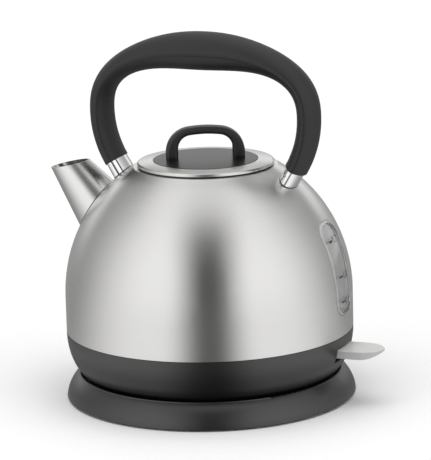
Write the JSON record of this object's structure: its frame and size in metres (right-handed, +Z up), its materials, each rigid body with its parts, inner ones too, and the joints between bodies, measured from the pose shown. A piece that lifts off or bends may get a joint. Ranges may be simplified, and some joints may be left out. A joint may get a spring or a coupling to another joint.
{
  "type": "electric kettle",
  "caption": "Domed brushed-steel cordless kettle with an arched black handle, a conical spout, a lift-off lid, a water gauge and a switch lever, on a round power base.",
  "frame": {"origin": "middle of the overall box, on the surface that the base stands on; the turning axis stands 4.9 mm from it, towards the spout", "axes": "+Z up, -X towards the spout, +X towards the switch lever and the water gauge, +Y towards the cord inlet"},
  "size_m": [0.2312, 0.192, 0.2423],
  "materials": {
    "brushed_body": "brushed round the axis",
    "inner_steel": "plain",
    "ferrule_chrome": "polished",
    "black_plastic": "fine satin",
    "grip_plastic": "soft touch",
    "lid_plastic": "gloss",
    "lever_plastic": "frosted, translucent",
    "dark_plastic": "moulded",
    "gauge_clear": "clear",
    "lamp_clear": "clear amber",
    "contact_brass": "plain",
    "heat_aluminium": "cast",
    "soft_rubber": "matte"
  },
  "bodies": {
    "base": {"base_cover": "black_plastic", "base_plate": "black_plastic", "base_socket": "dark_plastic", "base_contacts": "contact_brass", "base_feet": "soft_rubber", "base_screws": "inner_steel", "cord_gland": "soft_rubber"},
    "connector": {"connector_pin": "contact_brass"},
    "kettle": {"connector_housing": "dark_plastic", "contact_rings": "contact_brass", "collar": "black_plastic", "bottom_cover": "black_plastic", "body_posts": "inner_steel", "bottom_screws": "inner_steel", "spout": "brushed_body", "handle_grip": "grip_plastic", "front_ferrule": "ferrule_chrome", "rear_ferrule": "ferrule_chrome", "handle_saddles": "inner_steel", "handle_screws": "inner_steel", "gauge_lens": "gauge_clear", "gauge_seal": "soft_rubber", "gauge_clamp": "inner_steel", "gauge_studs": "inner_steel", "body_shell": "brushed_body", "heating_plate": "inner_steel", "heat_spreader": "heat_aluminium", "heating_element": "heat_aluminium", "element_terminals": "contact_brass", "control_unit": "dark_plastic", "bimetal_discs": "contact_brass", "steam_tube": "inner_steel", "steam_seal": "soft_rubber", "switch_housing": "dark_plastic", "steam_bimetal": "contact_brass", "lever_pin": "inner_steel", "indicator_lamp": "lamp_clear"},
    "lever": {"switch_lever": "lever_plastic"},
    "trip": {"trip_rod": "dark_plastic"},
    "lid": {"lid_cap": "brushed_body", "lid_handle": "lid_plastic", "lid_plug": "inner_steel", "lid_seal": "soft_rubber", "lid_screws": "inner_steel"}
  },
  "joints": [
    {"name": "kettle_lift", "type": "slide", "parent": "base", "child": "connector", "axis": [0, 0, 1], "range_m": [0, 0.12]},
    {"name": "kettle_swivel", "type": "hinge", "parent": "connector", "child": "kettle", "pos_m": [-0.0049, 0, 0.03], "axis": [0, 0, 1], "continuous": true},
    {"name": "lid_lift", "type": "slide", "parent": "kettle", "child": "lid", "axis": [0, 0, 1], "range_m": [0, 0.033]},
    {"name": "lever_tilt", "type": "hinge", "parent": "kettle", "child": "lever", "pos_m": [0.0771, 0, 0.0353], "axis": [0, 1, 0], "range_deg": [0, 12]},
    {"name": "trip_slide", "type": "slide", "parent": "kettle", "child": "trip", "axis": [0, 0, 1], "range_m": [0, 0.0025]}
  ],
  "couplings": [
    {"joint": "trip_slide", "follows": "lever_tilt", "m_per_rad": 0.0095}
  ]
}
